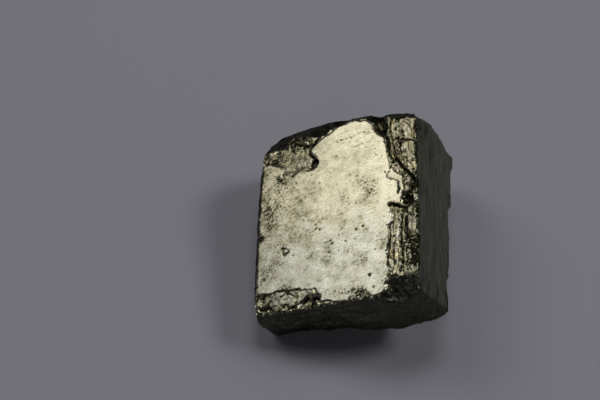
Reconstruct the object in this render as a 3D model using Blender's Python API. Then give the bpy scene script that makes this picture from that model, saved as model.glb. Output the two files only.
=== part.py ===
"""A pyrite crystal: a cube broken off its matrix, leaning on the fracture under it.

Metres, +Z up, the origin on the surface it rests on, under the middle of its box.
"""
from math import radians

import bmesh
import bpy
from mathutils import Euler, Matrix, Vector, noise

MM = 0.001

# The crystal's own frame: X from the left face to the right face, Y from the front face to the
# back face, Z out of the top face, with its zero at the front left corner of the top face.
LEFT, RIGHT = -0.8 * MM, 25.0 * MM
FRONT, BACK = -0.2 * MM, 29.9 * MM
DEEP = 24.0 * MM  # further down than the break goes anywhere
LEAN = Euler((radians(11.47), radians(-26.11), radians(-7.25)))
CORNER_HEIGHT = 5.98 * MM  # of that corner over the surface the crystal rests on

# Corners and edges that broke or wore off flat: a point of each facet and the way it faces.
FACETS = {
    "back right corner": ((25.0, 27.3, 0.0), (0.34, 0.94, 0.0)),
    "back left corner": ((0.0, 26.8, 0.0), (-0.66, 0.75, 0.1)),
    "back left shoulder": ((3.0, 28.8, 0.0), (-0.14, 0.96, 0.25)),
    "back rim": ((15.0, 29.0, 0.0), (0.05, 0.79, 0.61)),
    "left rim": ((0.0, 12.0, 0.0), (-0.53, 0.0, 0.85)),
    "front rim": ((12.0, 0.2, 0.0), (0.0, -0.87, 0.5)),
    "worn right border": ((20.6, 14.0, 0.0), (0.14, 0.0, 0.99)),
    "front right corner": ((20.4, 0.6, 0.0), (0.42, -0.62, 0.66)),
}

# Shallow conchoidal chips: the middle of each bowl, its half sizes, and its turn about Z.
CHIPS = {
    "grainy_patch": ((5.6, 23.7, 0.1), (3.3, 2.4, 0.55), 10),
    "back_left_shell": ((2.9, 27.5, 0.3), (2.5, 1.5, 1.5), 25),
    "back_shell": ((9.2, 28.9, 0.2), (2.6, 1.6, 1.3), 8),
    "front_terrace": ((4.8, 0.6, 0.2), (5.6, 2.6, 0.9), 0),
    "front_nick": ((16.3, 0.0, 0.1), (1.7, 1.0, 0.7), 0),
    "right_notch": ((23.6, 13.9, -0.2), (1.3, 0.9, 0.7), 20),
}
BOWL_SEGMENTS, BOWL_RINGS = 20, 12

# The break underneath, as a height over the surface. It is a flat rest in the middle, it climbs
# to the lower edge of the right face, and it climbs a little towards the front and the back.
GROUND_STEP = 1.25 * MM
GROUND_FROM, GROUND_TO = Vector((-3.0 * MM, -5.0 * MM)), Vector((37.0 * MM, 35.0 * MM))
REST_RIGHT, RIM_RIGHT, RIM_HEIGHT = 18.6 * MM, 26.9 * MM, 8.4 * MM
RIM_SLANT = 0.125  # how far both go to the right for each unit towards the back
REST_FRONT, RIM_FRONT = 6.0 * MM, -0.6 * MM
FRONT_CLIMB = 0.18  # height of the front rim for each unit to the right of its left end
REST_BACK, RIM_BACK, BACK_HEIGHT = 24.5 * MM, 30.0 * MM, 2.2 * MM
SHOULDER = 1.35  # how hollow the climb is; 1 is a straight slope
ROUGH_SIZE, ROUGH_HEIGHT = 3.4 * MM, 0.9 * MM
CUTTER_FLOOR = -22.0 * MM

PYRITE = {"colour": (0.62, 0.58, 0.43, 1.0), "metallic": 1.0, "roughness": 0.32}


def clear_scene():
    """Take away whatever objects the scene holds."""
    for thing in list(bpy.data.objects):
        bpy.data.objects.remove(thing, do_unlink=True)


def collection(name):
    """A collection of this name in the scene."""
    made = bpy.data.collections.new(name)
    bpy.context.scene.collection.children.link(made)
    return made


def to_object(shape, name, home):
    """Turn a bmesh into an object of this name, with its faces pointing out."""
    bmesh.ops.recalc_face_normals(shape, faces=shape.faces)
    mesh = bpy.data.meshes.new(name)
    shape.to_mesh(mesh)
    shape.free()
    made = bpy.data.objects.new(name, mesh)
    home.objects.link(made)
    return made


def hide_cutter(cutter):
    """Show a cutter as wire only, and never in a render."""
    cutter.hide_render = True
    cutter.display_type = "WIRE"


def pyrite():
    """Pale brass metal with a dull polish."""
    made = bpy.data.materials.new("pyrite")
    made.use_nodes = True
    shader = made.node_tree.nodes["Principled BSDF"]
    shader.inputs["Base Color"].default_value = PYRITE["colour"]
    shader.inputs["Metallic"].default_value = PYRITE["metallic"]
    shader.inputs["Roughness"].default_value = PYRITE["roughness"]
    return made


def cleave(shape, point, normal):
    """Cut a convex shape at a plane and close it with one flat face."""
    geometry = shape.verts[:] + shape.edges[:] + shape.faces[:]
    cut = bmesh.ops.bisect_plane(
        shape, geom=geometry, plane_co=point, plane_no=normal, clear_outer=True
    )
    rim = [part for part in cut["geom_cut"] if isinstance(part, bmesh.types.BMEdge)]
    bmesh.ops.edgeloop_fill(shape, edges=rim)


def crystal_block(home):
    """The cube's flat faces and flat chips, in the crystal's own frame."""
    shape = bmesh.new()
    bmesh.ops.create_cube(shape, size=1.0)
    size = Vector((RIGHT - LEFT, BACK - FRONT, DEEP))
    middle = Vector(((RIGHT + LEFT) / 2, (BACK + FRONT) / 2, -DEEP / 2))
    bmesh.ops.scale(shape, vec=size, verts=shape.verts)
    bmesh.ops.translate(shape, vec=middle, verts=shape.verts)
    for point, normal in FACETS.values():
        cleave(shape, Vector(point) * MM, Vector(normal).normalized())
    return to_object(shape, "pyrite_crystal", home)


def chip_cutter(name, middle, half, turn, home):
    """A flattened ball whose lower half is the bowl of a chip, in the crystal's own frame."""
    shape = bmesh.new()
    bmesh.ops.create_uvsphere(
        shape, u_segments=BOWL_SEGMENTS, v_segments=BOWL_RINGS, radius=1.0
    )
    bmesh.ops.scale(shape, vec=Vector(half) * MM, verts=shape.verts)
    place = Matrix.Translation(Vector(middle) * MM) @ Matrix.Rotation(radians(turn), 4, "Z")
    bmesh.ops.transform(shape, matrix=place, verts=shape.verts)
    return to_object(shape, name, home)


def climb(at, start, end):
    """0 up to start, 1 at end and more beyond it, along a hollow curve."""
    share = max(0.0, (at - start) / (end - start))
    return share**SHOULDER


def break_height(x, y):
    """How high the break is over the surface at one place; 0 where the crystal rests."""
    right = RIM_HEIGHT * climb(x - RIM_SLANT * y, REST_RIGHT, RIM_RIGHT)
    front = FRONT_CLIMB * max(0.0, x) * climb(-y, -REST_FRONT, -RIM_FRONT)
    back = BACK_HEIGHT * climb(y, REST_BACK, RIM_BACK)
    raised = max(right, front, back)
    rough = noise.noise(Vector((x, y, 0.0)) / ROUGH_SIZE)
    return max(0.0, raised + rough * min(ROUGH_HEIGHT, raised))


def ground_cutter(home):
    """Everything under the break: a grid lifted to it, closed down to a flat floor."""
    span = GROUND_TO - GROUND_FROM
    shape = bmesh.new()
    bmesh.ops.create_grid(
        shape,
        x_segments=round(span.x / GROUND_STEP),
        y_segments=round(span.y / GROUND_STEP),
        size=0.5,
    )
    bmesh.ops.scale(shape, vec=(span.x, span.y, 1.0), verts=shape.verts)
    middle = (GROUND_FROM + GROUND_TO) / 2
    bmesh.ops.translate(shape, vec=(middle.x, middle.y, 0.0), verts=shape.verts)
    walls = bmesh.ops.extrude_face_region(shape, geom=shape.faces[:])
    floor = {part for part in walls["geom"] if isinstance(part, bmesh.types.BMVert)}
    for vert in shape.verts:
        vert.co.z = CUTTER_FLOOR if vert in floor else break_height(vert.co.x, vert.co.y)
    return to_object(shape, "ground_cutter", home)


def cut_away(body, cutter):
    """Take the cutter's volume out of the body."""
    hide_cutter(cutter)
    step = body.modifiers.new(cutter.name, "BOOLEAN")
    step.operation = "DIFFERENCE"
    step.solver = "EXACT"
    step.object = cutter


def settle(body):
    """Put the evaluated shape in the mesh, with the origin under the middle of its box."""
    bpy.context.view_layer.update()
    evaluated = body.evaluated_get(bpy.context.evaluated_depsgraph_get())
    mesh = bpy.data.meshes.new_from_object(evaluated)
    mesh.transform(body.matrix_world)
    low, high = (Vector(pick(v.co[i] for v in mesh.vertices) for i in range(3)) for pick in (min, max))
    mesh.transform(Matrix.Translation((-(low.x + high.x) / 2, -(low.y + high.y) / 2, -low.z)))
    mesh.name = body.name
    body.modifiers.clear()
    body.data = mesh
    body.matrix_world = Matrix.Identity(4)


def main():
    clear_scene()
    crystal, cutters = collection("pyrite_specimen"), collection("cutters")
    lie = Matrix.Translation((0.0, 0.0, CORNER_HEIGHT)) @ LEAN.to_matrix().to_4x4()
    body = crystal_block(crystal)
    body.matrix_world = lie
    for name, (middle, half, turn) in CHIPS.items():
        chip = chip_cutter(name, middle, half, turn, cutters)
        chip.matrix_world = lie
        cut_away(body, chip)
    cut_away(body, ground_cutter(cutters))
    settle(body)
    body.data.materials.clear()
    body.data.materials.append(pyrite())


main()
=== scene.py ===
# %% [markdown]
# # A broken pyrite cube, lying on a pale table
#
# Pyrite grows as metal-bright cubes. This one came off its matrix rock with a ragged break
# underneath, so it lies with its top face leaning to the left. The piece is a single surface:
# a fine grid for the top face, and a skirt of rings that hangs from the top face's rim, goes
# down the four sides, turns under at the break and closes in one point below. Growth steps,
# chips, grooves and pits are all heights added to that surface, so they are real shape.

from math import cos, pi, radians, sin, tan

import bpy
import numpy as np
from mathutils import Euler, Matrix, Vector


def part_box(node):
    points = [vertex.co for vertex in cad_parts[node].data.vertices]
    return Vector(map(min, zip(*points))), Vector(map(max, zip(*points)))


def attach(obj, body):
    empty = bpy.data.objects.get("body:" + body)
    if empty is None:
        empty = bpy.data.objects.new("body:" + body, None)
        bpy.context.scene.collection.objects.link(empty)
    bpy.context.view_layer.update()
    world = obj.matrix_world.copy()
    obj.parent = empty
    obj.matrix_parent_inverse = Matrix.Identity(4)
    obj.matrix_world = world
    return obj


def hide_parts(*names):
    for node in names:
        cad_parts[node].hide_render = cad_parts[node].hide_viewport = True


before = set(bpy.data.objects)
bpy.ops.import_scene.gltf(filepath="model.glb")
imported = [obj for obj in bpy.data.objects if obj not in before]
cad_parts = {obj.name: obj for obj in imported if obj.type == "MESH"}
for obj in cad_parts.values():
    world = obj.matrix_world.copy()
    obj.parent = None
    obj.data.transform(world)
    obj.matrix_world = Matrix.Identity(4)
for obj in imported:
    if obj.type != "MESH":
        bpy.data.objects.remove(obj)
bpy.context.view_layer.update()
MM = 0.001
NODE = "pyrite_crystal"
low, high = (np.array(corner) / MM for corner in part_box(NODE))
print("the crystal's box, mm:", np.round(low, 2), "to", np.round(high, 2))

# %% [markdown]
# ## The crystal's own directions
#
# A cube is easiest to describe along its own edges. Here `a` runs from the left face to the
# right face, `b` from the front face to the back face and `c` out of the top face, all in
# millimetres from the top face's front left corner. Three turns lay those directions down as
# the crystal really lies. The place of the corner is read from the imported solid: its top
# plane, right plane and front plane are its furthest points along the three directions.

# %% Directions and origin of the crystal
LEAN = Euler((radians(11.47), radians(-26.11), radians(-7.25)))
RIGHT_FACE, FRONT_FACE = 25.0, -0.2
axes = np.array(LEAN.to_matrix()).T
solid = np.array([v.co[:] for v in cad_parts[NODE].data.vertices]) / MM
along = solid @ axes.T
corner = np.array([along[:, 0].max() - RIGHT_FACE, along[:, 1].min() - FRONT_FACE, along[:, 2].max()])
origin = corner @ axes
print("front left corner of the top face, mm:", np.round(origin, 2))


def to_world(a, b, c):
    """Crystal lengths to places in the frame, in mm: origin + a, b and c times their axes."""
    return origin + np.stack([a, b, c], axis=-1) @ axes


# %% [markdown]
# ## Repeatable noise
#
# Nothing natural is straight, so nearly every line and surface here gets a little noise. It
# is worked out with whole arrays from a number mixed out of each lattice point, which makes
# it the same on every run.

# %% Smooth noise on arrays
def lattice_value(x, y, z, seed):
    """One repeatable number from -1 to 1 for each whole-number point, by mixing its digits."""
    mixed = (x * 73856093) ^ (y * 19349663) ^ (z * 83492791) ^ (seed * 40503)
    for shift, factor in ((15, 2246822519), (13, 3266489917)):
        mixed = ((mixed ^ (mixed >> shift)) * factor) & 0xFFFFFFFF
    return (mixed ^ (mixed >> 16)) / 2147483648.0 - 1.0


def noise(x, y, z=0.0, seed=0):
    """Lattice numbers blended along x, y and z by the fade curve 6t^5 - 15t^4 + 10t^3."""
    x, y, z = np.broadcast_arrays(x, y, z)
    cells = [np.floor(v).astype(np.int64) for v in (x, y, z)]
    parts = [v - cell for v, cell in zip((x, y, z), cells)]
    fades = [t**3 * (t * (t * 6 - 15) + 10) for t in parts]
    total = np.zeros(x.shape)
    for i in (0, 1):
        for j in (0, 1):
            for k in (0, 1):
                weight = np.ones(x.shape)
                for fade, step in zip(fades, (i, j, k)):
                    weight = weight * (fade if step else 1 - fade)
                total += weight * lattice_value(cells[0] + i, cells[1] + j, cells[2] + k, seed)
    return total


def rough(x, y, z=0.0, seed=0, octaves=3):
    """Layers of noise, each twice as fine and half as strong as the one before."""
    layers = (noise(x * 2**n, y * 2**n, z * 2**n, seed + n) / 2**n for n in range(octaves))
    return sum(layers)


def rise(value, start, end):
    """0 before start, 1 after end, with an S curve 3t^2 - 2t^3 between."""
    t = np.clip((value - start) / (end - start), 0.0, 1.0)
    return t * t * (3 - 2 * t)


sample = rough(np.linspace(0, 9, 400), 0.0)
print("noise runs from", round(float(sample.min()), 2), "to", round(float(sample.max()), 2))

# %% [markdown]
# ## Distances to drawn lines
#
# Every feature of the top face is a line drawn on it: the outline of the bright plane, a
# crack, a ridge. What shapes the surface is how far each grid point is from that line.

# %% Distance to a path, and into an outline
def reach(a, b, path):
    """The distance from each point to the nearest place on a path of straight runs."""
    nearest = np.full(a.shape, np.inf)
    for (a0, b0), (a1, b1) in zip(path, path[1:]):
        run_a, run_b = a1 - a0, b1 - b0
        share = ((a - a0) * run_a + (b - b0) * run_b) / (run_a**2 + run_b**2)
        share = np.clip(share, 0, 1)
        nearest = np.minimum(nearest, np.hypot(a - a0 - share * run_a, b - b0 - share * run_b))
    return nearest


def depth_inside(a, b, outline):
    """Distance to a closed outline, positive inside it and negative outside."""
    closed = outline + outline[:1]
    odd = np.zeros(a.shape, bool)
    for (a0, b0), (a1, b1) in zip(closed, closed[1:]):
        crosses = (b0 > b) != (b1 > b)
        if b1 != b0:
            odd ^= crosses & (a < a0 + (b - b0) * (a1 - a0) / (b1 - b0))
    distance = reach(a, b, closed)
    return np.where(odd, distance, -distance)


# %% [markdown]
# ## The plan of the crystal
#
# Seen straight down on its top face, the cube is a rectangle with its two back corners
# broken off round. Four rim curves give that plan. The top grid is stretched between them as
# a Coons patch: the blend of left and right rims, plus the blend of front and back rims,
# less the blend of the four corners, which both of those counted. Each rim is kept twice:
# ragged for the top face, and clean as drawn for the sides that hang from it.

# %% Rim curves and the grid between them
ACROSS, ALONG = 205, 226  # cells of the top grid from left to right and from front to back
FINE_FROM, FINE_SHARE = 0.64, 0.5  # past this share of the cells they narrow, for the right border
NARROWING = 0.08  # half the share of the cells over which they do so
FRONT_RIM = [(0.1, -0.15), (3, -0.25), (9.5, -0.2), (13, -0.3), (18, -0.25), (22.4, -0.15), (24.55, 1.1)]
RIGHT_RIM = [(24.55, 1.1), (24.75, 2.2), (24.8, 9), (24.7, 14), (24.6, 18), (24.55, 24), (24.45, 27.7)]
BACK_RIM = [
    (0.05, 26.2), (0.35, 28.1), (1.7, 29.55), (4.8, 30.1), (8, 30.2), (12, 30.15), (13.6, 29.7),
    (15.2, 30.0), (16.8, 29.65), (18.4, 29.1), (20, 28.8), (21, 29.3), (22.4, 29.2), (23.6, 28.7),
    (24.45, 27.7),
]
LEFT_RIM = [
    (0.1, -0.15), (-0.45, 2.5), (-0.7, 5), (-0.85, 8), (-0.8, 11.4), (-0.95, 14), (-0.95, 18),
    (-0.8, 21), (-0.45, 23), (-0.3, 25), (0.05, 26.2),
]


def spacing(count, fine_from=1.0, fine_share=1.0):
    """Places from 0 to 1 of count cells, whose width shrinks to a share past one of them."""
    middles = (np.arange(count) + 0.5) / count
    widths = 1 - (1 - fine_share) * rise(middles, fine_from - NARROWING, fine_from + NARROWING)
    return np.concatenate([[0], np.cumsum(widths)]) / widths.sum()


def resample(path, shares):
    """Points at these shares of the length along a path of straight runs."""
    points = np.array(path, float)
    length = np.concatenate([[0], np.cumsum(np.hypot(*np.diff(points, axis=0).T))])
    return np.stack([np.interp(shares * length[-1], length, points[:, k]) for k in (0, 1)], axis=1)


def ragged(rim, amount=0.09):
    """A rim pushed about by noise of its own place, and left alone at its two ends."""
    ends = np.sin(np.linspace(0, pi, len(rim))) ** 0.3
    push = [rough(rim[:, 0] / 1.1, rim[:, 1] / 1.1, seed=seed) * amount * ends for seed in (11, 12)]
    return rim + np.stack(push, axis=1)


across_shares, along_shares = spacing(ACROSS, FINE_FROM, FINE_SHARE), spacing(ALONG)
clean_front, clean_back = (resample(path, across_shares) for path in (FRONT_RIM, BACK_RIM))
clean_left, clean_right = (resample(path, along_shares) for path in (LEFT_RIM, RIGHT_RIM))
front_rim, back_rim = ragged(clean_front), ragged(clean_back)
left_rim, right_rim = ragged(clean_left), ragged(clean_right)
s, t = across_shares[None, :, None], along_shares[:, None, None]
plan = (1 - s) * left_rim[:, None] + s * right_rim[:, None]
plan += (1 - t) * front_rim[None] + t * back_rim[None]
plan -= (1 - t) * ((1 - s) * front_rim[0] + s * front_rim[-1])
plan -= t * ((1 - s) * back_rim[0] + s * back_rim[-1])
a, b = plan[..., 0], plan[..., 1]
cell = float(np.hypot(*(plan[0, 1] - plan[0, 0])))
print("top grid of", a.size, "points, cells about", round(cell, 3), "mm")

# %% [markdown]
# ## The top face: what is left of the bright plane
#
# The bright face is what is left of the true crystal plane. Its outline is the drawn one
# below. Outside it the surface steps down: to a worn border along the right edge, a granular
# hollow and shell-shaped chips at the back left, a flaked ledge at the front left, and
# narrow broken rims. In two places the plane wears away gently, so the step is a ramp there.
# Facets and scoops cut deeper: the surface is the lowest of them all at each point. A little
# noise in the place of each point makes the drawn lines ragged.

# %% Outline of the bright plane and the broken facets round it
BRIGHT_PLANE = [
    (0.0, 3.0), (-0.1, 8), (-0.1, 11.3), (0.6, 11.5), (0.8, 12.0), (0.3, 12.4), (-0.1, 13), (-0.1, 21),
    (0.1, 24.1), (1.0, 24.1), (1.9, 23.8), (2.6, 23.1), (3.2, 22.6), (3.4, 21.9), (4.3, 21.5), (5.1, 21.3),
    (6.3, 21.6), (7.6, 21.8), (8.8, 22.0), (9.2, 22.5), (9.3, 23.1), (8.9, 23.6), (8.3, 24.2), (8.0, 24.8),
    (8.2, 25.3), (8.6, 25.9), (9.3, 26.4), (10.2, 26.9), (11.3, 27.4), (12.2, 28.0), (13.0, 28.5),
    (14.2, 28.7), (15.4, 28.6), (16.4, 28.2), (17.2, 28.2), (17.9, 27.8), (18.2, 27.0), (18.6, 26.2),
    (19.1, 25.6), (19.7, 24.9), (19.8, 24.0), (20.0, 23.4), (20.2, 22.6), (20.4, 21.5), (20.7, 20.4),
    (20.7, 19.4), (21.0, 19.6), (21.4, 19.0), (21.9, 18.5), (22.6, 18.0), (22.7, 17.2), (22.9, 16.3),
    (22.9, 15.6), (22.6, 15.2), (22.6, 14.4), (22.2, 13.5), (21.4, 13.8), (20.6, 13.9), (20.9, 13.0),
    (21.2, 12.1), (21.1, 11.2), (20.5, 10.5), (20.5, 8.0), (20.2, 6.4), (20.2, 4.8), (20.6, 4.0),
    (21.0, 3.3), (20.7, 2.5), (20.4, 1.7), (20.0, 0.6), (18.6, 0.3), (18.0, 0.5), (17.6, 1.0),
    (16.6, 1.3), (15.6, 1.2), (15.0, 0.9), (14.2, 0.2), (12.3, 0.3), (11.4, 0.6), (10.3, 0.6),
    (10.3, 1.2), (9.8, 2.1), (9.3, 2.7), (7.4, 2.8), (6.8, 3.1), (4.9, 3.0), (3.4, 3.2), (2.2, 2.9),
    (1.2, 3.1),
]
BORDER_SLOPE, BORDER_FROM = 0.13, 20.4
FACETS = [  # a point on the top plane, the two slopes, roughness, its size both ways, seed, darkness
    ((12.0, 0.1), (0.0, 1.9), 0.16, (0.8, 0.8), 42, 0.93),
    ((-0.02, 12), (0.9, 0.0), 0.05, (0.7, 1.4), 43, 0.97),
    ((15, 28.75), (-0.03, -1.25), 0.15, (1.1, 0.7), 44, 0.93),
    ((24.0, 14), (-1.3, -0.03), 0.34, (0.9, 1.3), 45, 0.82),
    ((1.2, 25.9), (0.12, -0.62), 0.03, (2.0, 2.0), 46, 0.9),
    ((22.0, 27.2), (-0.3, -0.9), 0.2, (0.8, 0.8), 47, 0.8),
]
SCOOPS = [  # middle, depth, radius, roughness, darkness
    ((2.6, 28.6), 1.1, 3.3, 0.05, 0.88),
    ((9.1, 29.3), 1.4, 2.5, 0.05, 0.9),
    ((12.2, 30.2), 1.6, 2.2, 0.0, 0.95),
    ((18.6, 29.4), 1.3, 2.2, 0.0, 0.93),
    ((8.75, 22.85), 0.75, 0.65, 0.0, 0.8),
    ((23.5, 14.3), 0.85, 1.2, 0.0, 0.97),
    ((0.3, 11.9), 0.2, 0.5, 0.0, 0.6),
]
NO_SCOOP = 9.0  # a height well over the crystal, for points beside a scoop


def plane(a, b, at, slope_a, slope_b):
    """The height of a flat facet that passes the top plane at one point, with two slopes."""
    return slope_a * (a - at[0]) + slope_b * (b - at[1])


def bowl(a, b, middle, sink, radius):
    """The floor of a ball-shaped scoop: its lowest point is sink below the top plane."""
    flat = (a - middle[0]) ** 2 + (b - middle[1]) ** 2
    floor = radius - sink - np.sqrt(np.maximum(radius**2 - flat, 0))
    return np.where(flat < radius**2, floor, NO_SCOOP)


def wander(a, b, amount, size, seed):
    """Each point moved a little by noise, so that what is drawn there comes out ragged."""
    return (
        a + amount * rough(a / size, b / size, seed=seed, octaves=2),
        b + amount * rough(a / size, b / size, seed=seed + 7, octaves=2),
    )


def worn_floor(a, b):
    """Height of the broken surface that lies under and around the bright plane."""
    lumps = rough(a / 2.2, b / 2.2, seed=31)
    border = -0.12 - BORDER_SLOPE * np.maximum(a - BORDER_FROM, 0) + 0.04 * lumps
    ledge = -0.07 + plane(a, b, (5, 3.1), 0.01, 0.03) + 0.03 * rough(a / 1.0, b / 0.6, seed=35)
    hollow = -0.2 + 0.02 * (a - 5) + 0.035 * lumps
    return np.where(a > 14, border, np.where(b > 14, hollow, np.minimum(ledge, -0.04)))


def corner_notch(a, b):
    """The front right corner: whichever is higher of a facet facing right and one facing front."""
    inner = plane(a, b, (20.05, 1.5), -1.3, 0.4) + 0.16 * rough(a / 0.6, b / 0.6, seed=48)
    outer = plane(a, b, (22.5, 3.5), -0.1, 0.62) + 0.22 * rough(a / 0.6, b / 0.5, seed=41)
    return np.maximum(inner, outer)


def chips(a, b):
    """The corner, the facets and the scoops one by one, each with how dark it is stained."""
    yield corner_notch(a, b), 1.0
    for at, slopes, amount, (size_a, size_b), seed, darkness in FACETS:
        yield plane(a, b, at, *slopes) + amount * rough(a / size_a, b / size_b, seed=seed), darkness
    lumps = rough(a / 0.7, b / 0.7, seed=49)
    for middle, sink, radius, amount, darkness in SCOOPS:
        yield bowl(a, b, middle, sink, radius) + amount * lumps, darkness


wa, wb = wander(a, b, 0.09, 0.55, 21)
bright = depth_inside(wa, wb, BRIGHT_PLANE)
on_plane = rise(bright, -0.05, 0.07)
off_plane = 1 - on_plane
hollow_ramp = rise(b, 19, 20.5) * (1 - rise(a, 6.8, 8.2)) * (1 - rise(b, 23.2, 24.2))
front_ramp = (1 - rise(b, 4, 5)) * rise(a, 13, 14) * (1 - rise(a, 18, 19))
merging = np.maximum(hollow_ramp, front_ramp)  # 1 where the step is a ramp
sinking = 1 - (1 - rise(-bright, 0.0, 1.1)) * merging
height = np.minimum(worn_floor(wa, wb), 0) * off_plane * sinking
stain = np.zeros(a.shape)
for surface, darkness in chips(wa, wb):
    surface = surface + 0.3 * (bright > 0.35)
    share = rise(height - surface, 0.0, 0.12)
    stain = stain * (1 - share) + darkness * share
    height = np.minimum(height, surface)
print("bright plane:", round(100 * float((on_plane > 0.5).mean())), "% of the top face")
print("the top face reaches down to", round(float(height.min()), 2), "mm")

# %% [markdown]
# ## Grooves, ridges and pits
#
# Growth left the worn border with curved steps like contour lines on a map. Each is a stroke:
# a path with a width and a height, added to the surface like a carver's gouge mark, deepest on
# the path and fading out beside it. The strokes also stain the metal, so the same call gives
# two masks that the material reads later: dark dirt in grooves, brassy yellow on ridges.
# Stains are strokes of colour alone: dirt, and one broad cloud of painted shade on the left.
# They leave the shape as it is, and a negative one cleans.

# %% Strokes on the top face
GROOVES = {
    "border_inner": (0.11, 0.12, [
        (20.0, 28.3), (20.15, 26.6), (19.95, 25.6), (20.15, 24.6), (20.3, 23.4), (20.55, 22.3),
        (20.9, 21.2), (21.3, 20.4),
    ]),
    "border_main": (0.11, 0.16, [
        (20.8, 28.4), (20.75, 26), (20.9, 24.9), (21.1, 23.6), (21.35, 22.3), (21.6, 21.3), (22.1, 20.3),
        (22.7, 19.4), (23.4, 18.6), (24.0, 17.9), (24.3, 17.0),
    ]),
    "border_main_low": (0.16, 0.17, [
        (22.1, 20.3), (22.7, 19.4), (23.4, 18.6), (24.1, 17.7), (24.3, 16.4), (23.6, 15.4),
    ]),
    "patch_left": (0.12, 0.15, [(21.9, 24.4), (22.05, 23.4), (22.15, 22.5), (22.3, 21.8)]),
    "patch_break": (0.1, 0.09, [(21.6, 24.4), (22.1, 24.1), (22.7, 24.0), (23.3, 23.85), (24.2, 23.6)]),
    "back_nook": (0.35, 0.45, [(18.3, 27.6), (18.7, 26.4), (19.1, 25.9), (19.7, 25.5)]),
    "back_nook_top": (0.35, 0.45, [(17.4, 28.9), (18.6, 28.3), (19.6, 27.6), (19.9, 26.6)]),
    "lower_main": (0.11, 0.17, [
        (23.2, 13.2), (22.6, 12.7), (22.45, 11.4), (22.35, 10), (22.3, 9), (22.35, 8), (22.3, 7.3),
        (22.6, 6.5), (22.65, 5.4), (22.6, 4.4), (22.3, 3.5),
    ]),
    "lower_left": (0.09, 0.1, [
        (20.8, 10.4), (20.8, 9.3), (20.75, 8.1), (20.6, 6.2), (20.4, 5.2), (20.8, 4.1),
    ]),
    "lower_mid": (0.09, 0.09, [(21.35, 7.7), (21.25, 6.6), (21.2, 5.3), (21.4, 4.5)]),
    "lower_right": (0.1, 0.11, [(23.1, 12.6), (23.15, 11.2), (23.0, 10.0), (23.2, 8.4)]),
    "cross_step": (0.11, 0.3, [
        (20.5, 13.8), (21.1, 13.85), (21.7, 13.55), (22.3, 13.35), (22.9, 12.95), (23.4, 13.2),
        (24.6, 14.0),
    ]),
    "tongue_crack": (0.05, 0.06, [
        (20.7, 19.0), (20.35, 18.6), (20.3, 18.1), (20.9, 17.75), (21.7, 17.4), (22.1, 17.15),
        (22.4, 16.8),
    ]),
    "tongue_holes": (0.11, 0.2, [(21.95, 16.9), (22.05, 16.2), (22.25, 15.9), (21.95, 15.5)]),
    "tongue_edge": (0.1, 0.12, [(22.7, 15.3), (22.8, 14.9), (22.9, 14.4)]),
    "nick_step": (0.07, 0.12, [(20.4, 10.5), (20.8, 10.6), (21.2, 11.2)]),
    "cliff": (0.15, 0.3, [
        (9.0, 26.8), (8.3, 26.1), (7.75, 25.3), (7.85, 24.6), (8.3, 24.0), (8.8, 23.5), (9.05, 23.0),
    ]),
    "cliff_foot": (0.15, 0.2, [(9.0, 22.5), (8.4, 22.1), (7.8, 21.85)]),
    "chip_line_a": (0.14, 0.25, [(5.0, 26.9), (5.9, 26.6), (6.8, 26.2), (7.6, 25.9)]),
    "pit_row": (0.07, 0.09, [(0.15, 24.35), (0.7, 24.3), (1.5, 24.25), (2.3, 24.1)]),
    "triangle_a": (0.06, 0.08, [(3.75, 9.75), (4.25, 9.65), (4.95, 9.25)]),
    "triangle_b": (0.07, 0.1, [(3.8, 9.7), (4.05, 9.1), (4.25, 8.65), (4.85, 9.2)]),
    "ledge_crack": (0.09, 0.09, [(3.8, 2.3), (4.6, 2.6), (5.2, 2.5), (5.9, 2.1)]),
    "ledge_hole": (0.25, 0.35, [(7.7, 1.0), (8.3, 1.5)]),
    "ledge_hole_b": (0.25, 0.4, [(8.9, 0.3), (9.3, 1.6), (10.0, 1.2)]),
    "ledge_low": (0.22, 0.2, [(0.8, 0.7), (1.9, 0.9), (2.6, 0.5)]),
    "ledge_low_b": (0.18, 0.18, [(5.2, 0.3), (6.2, 0.5)]),
}
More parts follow.
